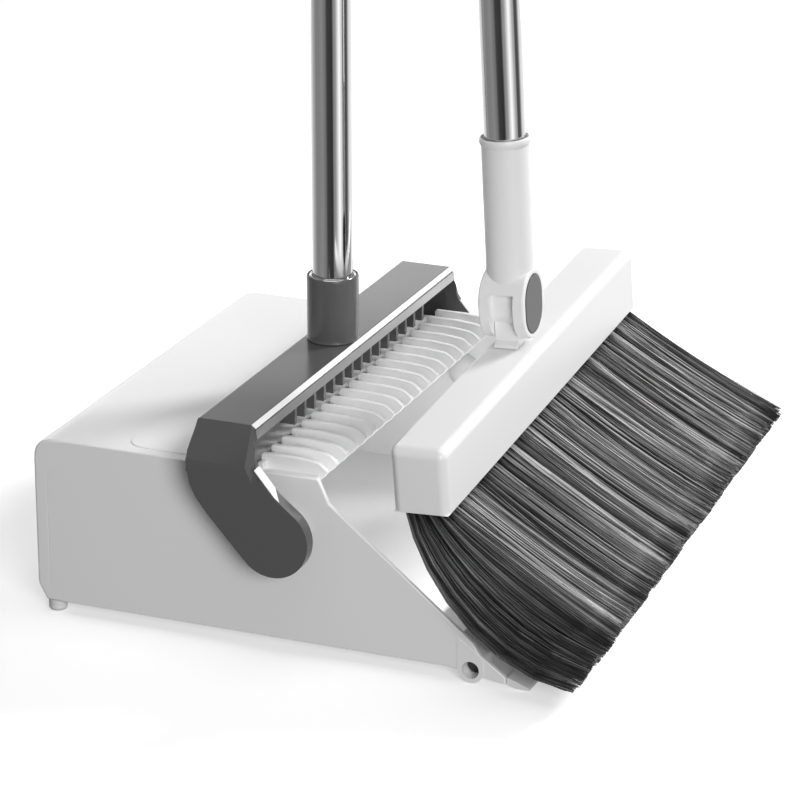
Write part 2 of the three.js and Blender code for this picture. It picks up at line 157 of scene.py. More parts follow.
def weighted_bevel(obj, width, segments, weight_of, space=PAN_FRAME):
    """Round each sharp edge by the share of the width that weight_of gives for its middle, in mm."""
    inverse = space.inverted()
    bm = bmesh.new()
    bm.from_mesh(obj.data)
    layer = bm.edges.layers.float.new("bevel_weight_edge")
    for edge in bm.edges:
        if len(edge.link_faces) == 2 and edge.calc_face_angle() > math.radians(25):
            ends = [inverse @ vert.co for vert in edge.verts]
            edge[layer] = weight_of((ends[0] + ends[1]) / 2, (ends[1] - ends[0]).normalized())
    bm.to_mesh(obj.data)
    bm.free()
    modifier = obj.modifiers.new("bevel", "BEVEL")
    modifier.width = width / 1000
    modifier.segments = segments
    modifier.limit_method = "WEIGHT"
    apply_modifiers(obj)
    layer = obj.data.attributes.get("bevel_weight_edge")
    if layer:
        obj.data.attributes.remove(layer)
    return obj


def smooth(obj, angle=38):
    obj.data.shade_smooth()
    obj.data.set_sharp_from_angle(angle=math.radians(angle))
    modifier = obj.modifiers.new("normals", "WEIGHTED_NORMAL")
    modifier.keep_sharp = True
    modifier.weight = 80
    return apply_modifiers(obj)


def arc(cx, cz, radius, start, end, steps=8):
    points = []
    for index in range(steps + 1):
        angle = math.radians(start + (end - start) * index / steps)
        points.append((cx + radius * math.cos(angle), cz + radius * math.sin(angle)))
    return points


def rounded(outline, radius, steps=5):
    """The outline with its corners rounded; a corner may give its own radius as a third number."""
    points = []
    count = len(outline)
    for index, corner in enumerate(outline):
        here = Vector(corner[:2])
        before = Vector(outline[index - 1][:2])
        after = Vector(outline[(index + 1) % count][:2])
        r = corner[2] if len(corner) > 2 else radius
        to_before = (before - here).normalized()
        to_after = (after - here).normalized()
        half = math.acos(max(-1, min(1, to_before.dot(to_after)))) / 2
        if r < 0.01 or half > math.radians(86):
            points.append(tuple(here))
            continue
        reach = min(r / math.tan(half), (before - here).length * 0.48, (after - here).length * 0.48)
        first, last = here + to_before * reach, here + to_after * reach
        for step in range(steps + 1):
            t = step / steps
            points.append(tuple(first.lerp(here, t).lerp(here.lerp(last, t), t)))
    return points


def prism(name, outline, x0, x1, space=PAN_FRAME):
    """A closed outline in the Y-Z plane, run along X."""
    count = len(outline)
    verts = [(x0, y, z) for y, z in outline] + [(x1, y, z) for y, z in outline]
    faces = [tuple(range(count)), tuple(range(2 * count - 1, count - 1, -1))]
    for index in range(count):
        after = (index + 1) % count
        faces.append((index, after, count + after, count + index))
    return make(name, verts, faces, space)


def bar_y(name, outline, y0, y1, space=PAN_FRAME):
    """A closed outline in the X-Z plane, run along Y."""
    count = len(outline)
    verts = [(x, y0, z) for x, z in outline] + [(x, y1, z) for x, z in outline]
    faces = [tuple(range(count)), tuple(range(2 * count - 1, count - 1, -1))]
    for index in range(count):
        after = (index + 1) % count
        faces.append((index, after, count + after, count + index))
    return make(name, verts, faces, space)


def plate_z(name, outline, z0, z1, space=PAN_FRAME):
    """A closed outline in the X-Y plane, run along Z."""
    count = len(outline)
    verts = [(x, y, z0) for x, y in outline] + [(x, y, z1) for x, y in outline]
    faces = [tuple(range(count)), tuple(range(2 * count - 1, count - 1, -1))]
    for index in range(count):
        after = (index + 1) % count
        faces.append((index, after, count + after, count + index))
    return make(name, verts, faces, space)


def block(name, x0, x1, y0, y1, z0, z1, space=PAN_FRAME):
    return prism(name, [(y0, z0), (y1, z0), (y1, z1), (y0, z1)], x0, x1, space)


AXES = {
    "Z": Matrix.Identity(4),
    "X": Matrix.Rotation(math.pi / 2, 4, "Y"),
    "Y": Matrix.Rotation(-math.pi / 2, 4, "X"),
}


def turned(name, profile, space=PAN_FRAME, axis="Z", at=(0, 0, 0), sides=64):
    """A closed ring of profile points (radius, height), turned about an axis through a point."""
    closed_on_axis = profile[0][0] == 0
    verts, faces = [], []
    rows = len(profile)
    for side in range(sides):
        angle = 2 * math.pi * side / sides
        for radius, height in profile:
            verts.append((radius * math.cos(angle), radius * math.sin(angle), height))
    last = rows - 1 if closed_on_axis else rows
    for side in range(sides):
        after = (side + 1) % sides
        for row in range(last):
            up = (row + 1) % rows
            faces.append((side * rows + row, after * rows + row, after * rows + up, side * rows + up))
    turn = Matrix.Translation(at) @ AXES[axis]
    obj = make(name, verts, faces, space @ turn)
    bm = bmesh.new()
    bm.from_mesh(obj.data)
    bmesh.ops.dissolve_degenerate(bm, edges=bm.edges, dist=1e-7)
    bm.to_mesh(obj.data)
    bm.free()
    return obj


def obround(half_width, half_height, steps=16):
    straight = half_height - half_width
    return arc(0, straight, half_width, 0, 180, steps) + arc(0, -straight, half_width, 180, 360, steps)


# ------------------------------------------------------------------ materials
def new_material(name, base, roughness, metallic=0.0):
    material = bpy.data.materials.new(name)
    material.use_nodes = True
    shader = material.node_tree.nodes["Principled BSDF"]
    shader.inputs["Base Color"].default_value = (*base, 1)
    shader.inputs["Roughness"].default_value = roughness
    shader.inputs["Metallic"].default_value = metallic
    return material, shader


def noise(tree, scale, detail=3.0, stretch=(1, 1, 1)):
    nodes, links = tree.nodes, tree.links
    place = nodes.new("ShaderNodeTexCoord")
    mapping = nodes.new("ShaderNodeMapping")
    mapping.inputs["Scale"].default_value = stretch
    texture = nodes.new("ShaderNodeTexNoise")
    texture.inputs["Scale"].default_value = scale
    texture.inputs["Detail"].default_value = detail
    links.new(place.outputs["Object"], mapping.inputs["Vector"])
    links.new(mapping.outputs["Vector"], texture.inputs["Vector"])
    return texture.outputs["Fac"]


def ramp(tree, value, low, high, start=0.35, end=0.65):
    node = tree.nodes.new("ShaderNodeMapRange")
    node.inputs["From Min"].default_value = start
    node.inputs["From Max"].default_value = end
    node.inputs["To Min"].default_value = low
    node.inputs["To Max"].default_value = high
    tree.links.new(value, node.inputs["Value"])
    return node.outputs["Result"]


def tint(tree, value, low, high):
    node = tree.nodes.new("ShaderNodeMix")
    node.data_type = "RGBA"
    node.inputs["A"].default_value = (*low, 1)
    node.inputs["B"].default_value = (*high, 1)
    tree.links.new(value, node.inputs["Factor"])
    return node.outputs["Result"]


def bump(tree, shader, value, strength, distance=0.0002):
    node = tree.nodes.new("ShaderNodeBump")
    node.inputs["Strength"].default_value = strength
    node.inputs["Distance"].default_value = distance
    tree.links.new(value, node.inputs["Height"])
    tree.links.new(node.outputs["Normal"], shader.inputs["Normal"])


def moulded(name, base, roughness, spread=0.0, grain=0.0, grain_scale=2600, coat=0.0, specular=0.5):
    """Moulded plastic: slow changes of gloss and, where it has a grain, that grain in colour and surface."""
    material, shader = new_material(name, base, roughness)
    tree = material.node_tree
    slow = noise(tree, 30, 1)
    tree.links.new(ramp(tree, slow, roughness * 0.94, roughness * 1.10, 0.2, 0.8), shader.inputs["Roughness"])
    if grain:
        fine = noise(tree, grain_scale, 2)
        low = tuple(c * (1 - spread) for c in base)
        high = tuple(min(1, c * (1 + spread)) for c in base)
        tree.links.new(tint(tree, ramp(tree, fine, 0, 1), low, high), shader.inputs["Base Color"])
        bump(tree, shader, fine, grain)
    shader.inputs["Specular IOR Level"].default_value = specular
    shader.inputs["Coat Weight"].default_value = coat
    shader.inputs["Coat Roughness"].default_value = 0.12
    return material


def metal(name, base, roughness, stretch, streak_strength=0.03):
    """Drawn metal: fine lines along the draw, soft patches in the gloss."""
    material, shader = new_material(name, base, roughness, 1.0)
    tree = material.node_tree
    lines = noise(tree, 1500, 2, stretch)
    patches = noise(tree, 30, 3)
    tree.links.new(ramp(tree, patches, roughness * 0.8, roughness * 1.3), shader.inputs["Roughness"])
    low = tuple(c * 0.95 for c in base)
    tree.links.new(tint(tree, ramp(tree, lines, 0, 1), low, base), shader.inputs["Base Color"])
    bump(tree, shader, lines, streak_strength, 0.00005)
    return material


def fibre():
    """Bristles: charcoal strands of many shades, in lighter and darker locks, with painted shade darkening
    them towards the brush's ends.
    """
    material, shader = new_material("bristle_fibre", (0.06, 0.06, 0.06), 0.38)
    tree = material.node_tree
    nodes, links = tree.nodes, tree.links
    strand = nodes.new("ShaderNodeNewGeometry").outputs["Random Per Island"]
    locks = ramp(tree, noise(tree, 1, 3, (330, 6, 6)), -0.10, 0.40, 0.38, 0.62)
    mixed = nodes.new("ShaderNodeMath")
    mixed.operation = "MULTIPLY_ADD"
    mixed.inputs[1].default_value = 0.70
    links.new(strand, mixed.inputs[0])
    links.new(locks, mixed.inputs[2])
    place = nodes.new("ShaderNodeTexCoord")
    split = nodes.new("ShaderNodeSeparateXYZ")
    links.new(place.outputs["Object"], split.inputs["Vector"])
    offset = nodes.new("ShaderNodeMath")
    offset.operation = "SUBTRACT"
    offset.inputs[1].default_value = POLE_FOOT.x
    links.new(split.outputs["X"], offset.inputs[0])
    outward = nodes.new("ShaderNodeMath")
    outward.operation = "ABSOLUTE"
    links.new(offset.outputs[0], outward.inputs[0])
    # painted shade: the strands' colour darkens towards both ends of the brush
    ends = ramp(tree, outward.outputs[0], 1.0, 0.62, 0.125, 0.15)
    level = nodes.new("ShaderNodeMath")
    level.operation = "MULTIPLY"
    links.new(mixed.outputs[0], level.inputs[0])
    links.new(ends, level.inputs[1])
    shade = nodes.new("ShaderNodeValToRGB")
    stops = shade.color_ramp.elements
    stops[0].position, stops[0].color = 0.0, (0.006, 0.006, 0.006, 1)
    stops[1].position, stops[1].color = 1.0, (0.62, 0.62, 0.62, 1)
    for position, grey in ((0.25, 0.012), (0.50, 0.075), (0.72, 0.26)):
        stop = stops.new(position)
        stop.color = (grey, grey, grey, 1)
    links.new(level.outputs[0], shade.inputs["Fac"])
    links.new(shade.outputs["Color"], shader.inputs["Base Color"])
    links.new(ramp(tree, strand, 0.30, 0.48, 0, 1), shader.inputs["Roughness"])
    bump(tree, shader, noise(tree, 1800, 2), 0.05)
    return material


WHITE = moulded("white_moulding", (0.86, 0.86, 0.86), 0.30, 0.008, 0.02, coat=0.15)
PALE = moulded("pale_moulding", (0.84, 0.84, 0.84), 0.32, 0.010, 0.02)
SOFT_WHITE = moulded("soft_white", (0.80, 0.80, 0.795), 0.5, 0.02, 0.12, 1400)
GREY = moulded("grey_moulding", (0.100, 0.100, 0.101), 0.20, 0.03, 0.03, specular=0.6)
GRIP = moulded("grip_grey", (0.10, 0.10, 0.101), 0.5, 0.05, 0.20, 900)
# dark plastic for the real dark parts, also used as painted shade in the brush socket's mouth and at the
# bottoms of the barrels' bores
DARK_PLASTIC_AND_SHADE = moulded("dark_plastic", (0.025, 0.025, 0.026), 0.5, 0.10, 0.05)
CAP = moulded("cap_grey", (0.055, 0.055, 0.055), 0.16, 0.02, 0.03)
CHROME = metal("chrome_tube", (0.80, 0.80, 0.80), 0.09, (1, 1, 0.02))
# painted reflection: a bright satin metal for the band on the grey cross bar's front, standing in for the
# light its glossy chamfer reflects
PAINTED_REFLECTION_BAND = metal("painted_reflection_band", (0.62, 0.62, 0.62), 0.36, (0.02, 1, 1))
# painted highlight: a brighter white for the strips on the front edges of the yoke's grey cross bar and arms
PAINTED_HIGHLIGHT = moulded("painted_highlight_white", (0.92, 0.92, 0.92), 0.24, 0.01, 0.02, coat=0.3)
STEEL = metal("steel", (0.50, 0.50, 0.50), 0.36, (1, 0.1, 1))
FIBRE = fibre()


def dress(obj, material, body, slot, *nodes):
    obj.data.materials.clear()
    obj.data.materials.append(material)
    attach(obj, body)
    if nodes:
        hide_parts(*nodes)
    return obj


# ------------------------------------------------------------------ the pan
def tooth_x(index):
    return (index - (TEETH - 1) / 2) * TOOTH_PITCH


def pan_outline():
    return rounded([
        (111.5, 7, 2), (116.5, 16, 7), (116.5, PAN_TOP, 12), (-47, PAN_TOP, 2), (-52.8, 86.6, 3),
        (-132, 22.3, 2), (-136, 16.2, 3), (-150, 6, 0), (-150, 2, 0), (-118, 7, 4),
    ], 1, 6)


def side_edge_weight(mid, along):
    """Full rounding where the pan's side meets its back, fading to a tight edge elsewhere."""
    if abs(abs(mid.x) - PAN_HALF) > 0.1 or abs(along.x) > 0.5:
        return 0
    return 0.38 + 0.62 * max(0, min(1, (mid.y - 100) / 8))


def side_line(width):
    """The narrow groove that runs down the pan's side just ahead of its back."""
    def path(inset):
        y, top = 109.4 - inset, 84.6 - inset
        return [(y, 13)] + [(py, pz) for py, pz in arc(y - 8 + inset, top - 8 + inset, 8 - inset, 0, 72, 8)]
    return path(0) + path(width)[::-1]


def build_pan_shell():
    half = PAN_HALF
    shell = weighted_bevel(prism("pan_moulding", pan_outline(), -half, half), 6.5, 5, side_edge_weight)
    inside = rounded([
        (114, 9.5), (114, 96.8, 9), (-200, 96.8), (-200, 6), (-150, 4.4), (-118, 9.5),
    ], 0.0, 6)
    cavity = prism("cavity", inside, -half + WALL, half - WALL)
    seat = TEETH * TOOTH_PITCH / 2
    comb_seat = block("comb_seat", -seat, seat, -70, -11, 90, 120)
    cut(shell, cavity, comb_seat)
    ear = arc(BARREL_Y, BARREL_Z, BARREL_R, 180, 360, 16)
    ear += [(-123.8, 24), (-130, 20), (-136.5, 14.5), (-138.2, 12)]
    for side in (-1, 1):
        x0, x1 = sorted((side * (half + 0.3), side * (half - 12.7)))
        join(shell, prism("ear", ear, x0, x1))
        x0, x1 = sorted((side * (half - 1), side * (YOKE_INNER - 0.3)))
        join(shell, turned("boss", [(0, x0), (12, x0), (12, x1), (0, x1)], axis="X",
                           at=(0, PIVOT_Y, PIVOT_Z), sides=48))
    bevel(shell, 0.7, 3, 45)
    for side in (-1, 1):
        x0, x1 = sorted((side * (half - 0.35), side * (half + 1)))
        cut(shell, prism("side_line", side_line(0.55), x0, x1))
        x0, x1 = sorted((side * (half + 5), side * (half - 10)))
        cut(shell, turned("bore", [(0, x0), (4.7, x0), (4.7, x1), (0, x1)], axis="X",
                          at=(0, BARREL_Y, BARREL_Z), sides=40))
    cut(shell, block("below_floor", -200, 200, -200, 0, -20, 0))
    smooth(shell)
    dress(shell, WHITE, "pan", "white_plastic", "pan_shell")


def build_barrel_painted_shade_patches():
    """Dark discs at the bottoms of the two barrels' blind bores: painted shade."""
    for name, side in SIDES:
        x0, x1 = sorted((side * (PAN_HALF - 9.8), side * (PAN_HALF - 7.5)))
        painted_shade_patch = turned(f"barrel_painted_shade_patch_{name}", [(0, x0), (4.5, x0), (4.5, x1), (0, x1)], axis="X",
                      at=(0, BARREL_Y, BARREL_Z), sides=40)
        bevel(painted_shade_patch, 0.3, 2, 50)
        smooth(painted_shade_patch)
        dress(painted_shade_patch, DARK_PLASTIC_AND_SHADE, "pan", "dark_plastic")


def build_pivot_caps():
    """Low white domes inside the pan over the pivots' washers and screws."""
    for name, side in SIDES:
        wall = PAN_HALF - WALL
        profile = [(0, wall - 6.2), (3.5, wall - 6.1), (6.8, wall - 5.3), (9.2, wall - 3.6), (10, wall - 1.6),
                   (10, wall - 0.05), (0, wall - 0.05)]
        cap = turned(f"pivot_cap_{name}", [(r, side * x) for r, x in profile], axis="X",
                     at=(0, PIVOT_Y, PIVOT_Z), sides=48)
        smooth(cap)
        dress(cap, WHITE, "pan_handle", "steel", f"pivot_washer_{name}", f"pivot_screw_{name}")


def build_top_panel():
    """The low raised field on the pan's top, with rounded rear corners."""
    x = 124.5
    outline = rounded([(-x, 24, 1), (x, 24, 1), (x, 67, 15), (-x, 67, 15)], 1, 8)
    panel = plate_z("top_panel", outline, PAN_TOP - 0.4, PAN_TOP + 0.45)
    bevel(panel, 0.35, 2, 40)
    smooth(panel)
    dress(panel, WHITE, "pan", "white_plastic")


def build_comb():
    half = TEETH * TOOTH_PITCH / 2 - 0.3
    plate = block("comb_plate", -half, half, -44.5, -12, 95, 98.6)
    outline = rounded([
        (-12, 95.2, 0), (-12, 106.4, 1.5), (-31, 106.4, 14), (-44, 105.2, 10), (-49.5, 101, 1.6),
        (-47.6, 98.0, 1.2), (-44, 95.2, 0),
    ], 1, 5)
    comb = bevel(plate, 0.6, 2)
    comb.name = "comb"
    teeth = []
    for index in range(TEETH):
        x = tooth_x(index)
        tooth = bevel(prism("tooth", outline, x - 1.6, x + 1.6), 0.7, 3, 50)
        teeth.append(tooth)
    rail = bevel(block("rail", -half, half, -15.5, -12, 98, 103), 0.8, 3)
    join(comb, rail, *teeth)
    smooth(comb)
    dress(comb, WHITE, "pan", "pale_plastic", "comb_strip")


def build_lip():
    outline = rounded([
        (-150.3, 1.6), (-150.3, 5.7), (-156, 3.9, 4), (-162.2, 1.4, 1), (-163, 0.5, 0.4), (-162.6, 0),
        (-155, 0),
    ], 0.4, 4)
    lip = prism("mouth_lip_soft", outline, -PAN_HALF + 1.5, PAN_HALF - 1.5)
    bevel(lip, 0.4, 2, 50)
    smooth(lip)
    dress(lip, SOFT_WHITE, "pan", "soft_white", "mouth_lip")


def build_rear_feet():
    for name, side in SIDES:
        foot = turned(f"rear_foot_pad_{name}", [
            (0, 0), (3.4, 0), (4.4, 0.4), (5, 1.4), (5, 2.6), (4.7, 3), (5, 3.4), (5, 6.7), (0, 6.7),
        ], at=(side * 125, 108, 0), sides=48)
        smooth(foot)
        dress(foot, SOFT_WHITE, "pan", "soft_white", f"rear_foot_{name}")


# ------------------------------------------------------------------ the yoke
ARM_END_R = 20
BAR_FRONT = [(-13.5, YOKE_TOP), (-16.4, 125.0), (-16.8, 119.4)]


def bar_section():
    return rounded([
        (-13.5, YOKE_TOP, 0.2), (-16.4, 125.0, 0.2), (-16.8, 119.4, 0.5), (-14.4, 118.5, 0.3),
        (-11.6, 118.5, 0.3), (-11.6, 100.6, 0), (19, 100.6, 0.8), (19, 108, 2), (15.9, YOKE_TOP, 1.0),
    ], 0.5, 3)


def front_view(inset, low):
    """The yoke from the front: a level crossbar with sloping shoulders."""
    top = YOKE_TOP - inset
    shoulder, arm = (BAR_HALF - 5.5, YOKE_INNER) if inset else (BAR_HALF, YOKE_HALF)
    return [(-arm, low), (arm, low), (arm, SHOULDER_Z), (shoulder, top), (-shoulder, top), (-arm, SHOULDER_Z)]


def arm_outline():
    front = rounded([
        (15.9, YOKE_TOP, 0.4), (-13.5, YOKE_TOP, 0.2), (-16.4, 125, 0.2), (-16.8, 119.4, 2),
        (-17.5, 110.4, 3), (-18.7, 107.1, 2), (-30.3, 93.1, 8), (-42.4, 83.4, 0), (0, 60, 0),
    ], 1, 4)
    points = front[:-2] + arc(PIVOT_Y, PIVOT_Z, ARM_END_R, 134, 318, 30)
    rear = rounded([
        (-13.6, 55.6, 0), (7.6, 79.2, 20), (13.6, 87, 10), (16.9, 93.5, 8), (18.5, 101, 6), (18.9, 111.7, 5),
        (15.9, YOKE_TOP, 0), (0, 80, 0),
    ], 1, 4)
    return points + rear[1:-2]


def shoulder_chamfer(side):
    """The tool that takes off the front outer edge of a sloping shoulder."""
    start, end = Vector((BAR_HALF, YOKE_TOP)), Vector((YOKE_HALF, SHOULDER_Z))
    along = (end - start).normalized()
    inward = Vector((along.y, -along.x))
    section = [(-1.0, -13.2), (3.6, -17.8), (3.6, -22.0), (-1.0, -22.0)]
    verts = []
    for point in (start - along * 6, end + along * 8):
        for depth, y in section:
            x, z = point + inward * depth
            verts.append((side * x, y, z))
    faces = [(0, 1, 2, 3), (7, 6, 5, 4)] + [(i, (i + 1) % 4, (i + 1) % 4 + 4, i + 4) for i in range(4)]
    return make("shoulder_chamfer", verts, faces)


def build_yoke():
    reach = YOKE_HALF + 1
    yoke = prism("yoke_moulding", bar_section(), -reach, reach)
    hollow = prism("hollow", [
        (-13.8, YOKE_TOP - WALL), (-13.8, 90), (16.5, 90), (16.5, 108), (13.6, YOKE_TOP - WALL),
    ], -reach, reach)
    combine(hollow, bar_y("inside", front_view(WALL, 80), -60, 30), "INTERSECT")
    cut(yoke, hollow, block("front", -YOKE_INNER, YOKE_INNER, -17.5, -11, 90, 118.5))
    for index in range(3, 18):
        x = tooth_x(index)
        join(yoke, block("rib", x - 1.4, x + 1.4, -14.2, 4, 108.4, YOKE_TOP - 1))
    for side in (-1, 1):
        x0, x1 = sorted((side * YOKE_INNER, side * reach))
        join(yoke, prism("arm", arm_outline(), x0, x1))
    combine(yoke, bar_y("outside", front_view(0, 40), -60, 30), "INTERSECT")
    cut(yoke, shoulder_chamfer(-1), shoulder_chamfer(1))
    bevel(yoke, 0.5, 2, 38)
    smooth(yoke)
    dress(yoke, GREY, "pan_handle", "grey_plastic", "yoke")


def front_strip(name, ends, lift, half, material):
    """A thin strip on one face of the yoke's front; ends are the face's two edges in Y-Z."""
    start, end = (Vector(point) for point in ends)
    along = (end - start).normalized()
    out = Vector((along.y, -along.x))
    inset = along * 0.35
    points = [start + inset - out * 0.1, start + inset + out * lift,
              end - inset + out * lift, end - inset - out * 0.1]
    strip = prism(name, [tuple(point) for point in points], -half, half)
    smooth(strip, 50)
    return dress(strip, material, "pan_handle", "grey_plastic")


def build_bar_painted_highlights():
    """The cross bar's front edge as a bright white strip, a painted highlight, and the satin metal band below
    it, a painted reflection of the bar's glossy front.
    """
    front_strip("bar_painted_highlight", BAR_FRONT[:2], 0.25, BAR_HALF - 0.6, PAINTED_HIGHLIGHT)
    front_strip("bar_painted_reflection", BAR_FRONT[1:], 0.2, BAR_HALF - 0.2, PAINTED_REFLECTION_BAND)


def build_arm_painted_highlights():
    """A painted highlight along the front edge of each arm: a bright strip below the elbow, with a slanted
    lower end.
    """
    edge = [Vector((-19.1, 106.6)), Vector((-30.3, 93.1)), Vector((-36.5, 88.1))]
    outs = [Vector((-0.77, 0.64)), Vector((-0.70, 0.71)), Vector((-0.63, 0.78))]
    outline = [tuple(point + out * 0.35) for point, out in zip(edge, outs)]
    outline += [tuple(point - out * 0.1) for point, out in zip(edge[::-1], outs[::-1])]
    for name, side in SIDES:
        x0, x1 = sorted((side * (YOKE_INNER + 0.5), side * (YOKE_HALF - 0.5)))
        strip = prism(f"arm_painted_highlight_{name}", outline, x0, x1)
        far, near = side * (YOKE_HALF + 1), side * (YOKE_INNER - 1)
        cut(strip, plate_z("slant", [(far, -34.2), (near, -27.0), (near, -60), (far, -60)], 60, 130))
        smooth(strip, 50)
        dress(strip, PAINTED_HIGHLIGHT, "pan_handle", "grey_plastic")


def build_pole_socket():
    low = YOKE_TOP + 0.3
    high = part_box("pole_socket")[1][2] * 1000
    socket = turned("pole_socket_moulding", [
        (11.3, low), (14.3, low), (14.5, low + 0.5), (14.2, low + 1.1), (14.1, low + 3), (14.1, high - 2.2),
        (14.2, high - 1.6), (14.2, high - 0.9), (13.9, high - 0.2), (13.5, high), (13.3, high - 0.1),
        (13.2, high - 0.6), (13.2, high - 3.5), (11.3, high - 3.5),
    ], sides=96)
    smooth(socket)
    dress(socket, GREY, "pan_handle", "grey_plastic", "pole_socket")
    ring = turned("pole_socket_ring", [
        (11.3, high - 3.2), (13.0, high - 3.2), (13.0, high - 0.8), (12.7, high - 0.3), (12.2, high),
        (11.7, high - 0.1), (11.3, high - 0.7),
    ], sides=96)
    smooth(ring, 50)
    dress(ring, CHROME, "pan_handle", "chrome_tube")


# ------------------------------------------------------------------ poles, grips and clip
def build_tube(node, body, z0, z1, space):
    tube = turned(node + "_chrome", [
        (10.2, z0), (10.8, z0), (11, z0 + 0.25), (11, z1 - 0.25), (10.8, z1), (10.2, z1),
    ], space, sides=96)
    smooth(tube)
    dress(tube, CHROME, body, "chrome_tube", node)


def build_collar(node, body, z, space):
    collar = turned(node + "_ring", [
        (11.3, z - 5), (12.1, z - 5), (12.5, z - 4.5), (12.6, z - 3.8), (12.6, z - 0.8), (12.2, z - 0.4),
        (12.2, z + 0.4), (12.6, z + 0.8), (12.6, z + 3.8), (12.5, z + 4.5), (12.1, z + 5), (11.3, z + 5),
    ], space)
    smooth(collar)
    dress(collar, GREY, body, "grey_plastic", node)


def build_grip(node, body, top, space):
    bottom = top - 118
    profile = [(11.3, bottom), (12.6, bottom), (13.4, bottom + 0.8), (14.2, bottom + 3), (14.5, bottom + 5)]
    for ring in range(3):
        z = bottom + 15.5 + ring * 8
        profile += [(14.5, z), (14.3, z + 0.5), (13.7, z + 1.3), (13.55, z + 2.2), (13.7, z + 3.1),
                    (14.3, z + 3.9), (14.5, z + 4.5)]
    profile += [(14.1, top - 66), (13.75, top - 42), (13.9, top - 24), (14.4, top - 4), (14.5, top - 1),
                (14.2, top), (11.3, top)]
    grip = turned(node + "_sleeve", profile, space)
    smooth(grip, 60)
    dress(grip, GRIP, body, "grey_plastic", node)


def build_hang_cap(node, body, top, space):
    low = top + 0.3
    cap = turned(node + "_moulding", [
        (0, low), (14.2, low), (14.5, low + 0.4), (14.4, low + 6), (13.9, low + 14), (12.9, low + 21),
        (11.4, low + 26), (9.2, low + 30), (6.0, low + 33), (2.6, low + 34), (0, low + 34),
    ], space)
    cut(cap, block("flat_a", -30, -8, -30, 30, low + 6, low + 60, space),
        block("flat_b", 8, 30, -30, 30, low + 6, low + 60, space))
    cut(cap, turned("hole", [(0, -30), (5.5, -30), (5.5, 30), (0, 30)], space, "X", (0, 0, low + 17), 40))
    bevel(cap, 0.9, 3, 40)
    smooth(cap)
    dress(cap, WHITE, body, "white_plastic", node)


def build_pole(prefix, body, ends, space):
    for name, z0, z1 in zip(("lower", "middle", "upper"), ends[:-1], ends[1:]):
        build_tube(f"{prefix}_tube_{name}", body, z0, z1 - 0.3, space)
    for index in (1, 2):
        build_collar(f"{prefix}_collar_{index}", body, ends[index], space)
    build_grip(f"{prefix}_grip", body, ends[3] + 60, space)
    build_hang_cap(f"{prefix}_hang_cap", body, ends[3] + 60, space)


def build_clip():
    low, high = (value * 1000 for value in (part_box("brush_clip")[0][2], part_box("brush_clip")[1][2]))
    jaw_y = math.tan(POLE_LEAN) * ((low + high) / 2 - JOINTS["head_swivel"]["pos_m"][2] * 1000)
    jaw_y += (Vector(JOINTS["head_swivel"]["pos_m"]).y - POLE_FOOT.y) * 1000 + 1
    seat = POLE_R + 0.5
    clip = turned("clip_moulding", [(0, low), (15, low), (15, high), (0, high)])
    join(clip, block("web", -4, 4, jaw_y + seat + 1, -12, low + 3, high - 3))
    jaw = turned("jaw", [(0, low), (seat + 3, low), (seat + 3, high), (0, high)], at=(0, jaw_y, 0))
    join(jaw, block("lips", -seat - 3, seat + 3, jaw_y - 9, jaw_y, low, high))
    cut(jaw, block("ahead", -40, 40, jaw_y - 60, jaw_y - 9, low - 1, high + 1))
    join(clip, jaw)
    cut(clip,
        turned("seat", [(0, low - 1), (seat, low - 1), (seat, high + 1), (0, high + 1)], at=(0, jaw_y, 0)),
        block("way_in", -seat, seat, jaw_y - 40, jaw_y, low - 1, high + 1),
        turned("bore", [(0, low - 1), (11.3, low - 1), (11.3, high + 1), (0, high + 1)]))
    bevel(clip, 0.8, 3, 40)
    smooth(clip)
    dress(clip, GREY, "pan_handle", "grey_plastic", "brush_clip")


# ------------------------------------------------------------------ the brush's knuckle
DRUM_HALF = 12.7
SLOT_HALF = 6.9
TONGUE_R = 11.0
SOCKET_TOP = 91.0
SLOT_TOP = 8.3


def build_brush_socket():
    drum = bar_y("brush_socket_moulding", obround(17, 19), -DRUM_HALF, DRUM_HALF, BRUSH_FRAME)
    bevel(drum, 1.2, 4, 50)
    tube = turned("tube", [
        (0, 0), (12.2, 0), (12.6, 20), (12.7, 60), (12.7, SOCKET_TOP - 5), (12.9, SOCKET_TOP - 4.2),
        (13.4, SOCKET_TOP - 3.4), (13.6, SOCKET_TOP - 2.4), (13.6, SOCKET_TOP - 1.0),
        (13.4, SOCKET_TOP - 0.3), (13.1, SOCKET_TOP), (0, SOCKET_TOP),
    ], BRUSH_FRAME, sides=96)
    join(drum, tube)
    cut(drum,
        turned("bore", [(0, 22), (11.3, 22), (11.3, SOCKET_TOP - 14), (12.5, SOCKET_TOP - 4),
                        (12.7, SOCKET_TOP + 5), (0, SOCKET_TOP + 5)], BRUSH_FRAME, sides=96),
        block("slot", -30, 30, -SLOT_HALF, SLOT_HALF, -30, SLOT_TOP, BRUSH_FRAME),
        turned("sweep", [(0, -SLOT_HALF), (12.5, -SLOT_HALF), (12.5, SLOT_HALF), (0, SLOT_HALF)],
               BRUSH_FRAME, "Y", sides=48))
    for y0, y1 in ((-20, -DRUM_HALF + 1.4), (DRUM_HALF - 1.4, 20)):
        cut(drum, bar_y("pocket", obround(13, 16.4), y0, y1, BRUSH_FRAME))
    bevel(drum, 0.5, 2, 40)
    smooth(drum)
    dress(drum, WHITE, "brush_handle", "white_plastic", "brush_socket")


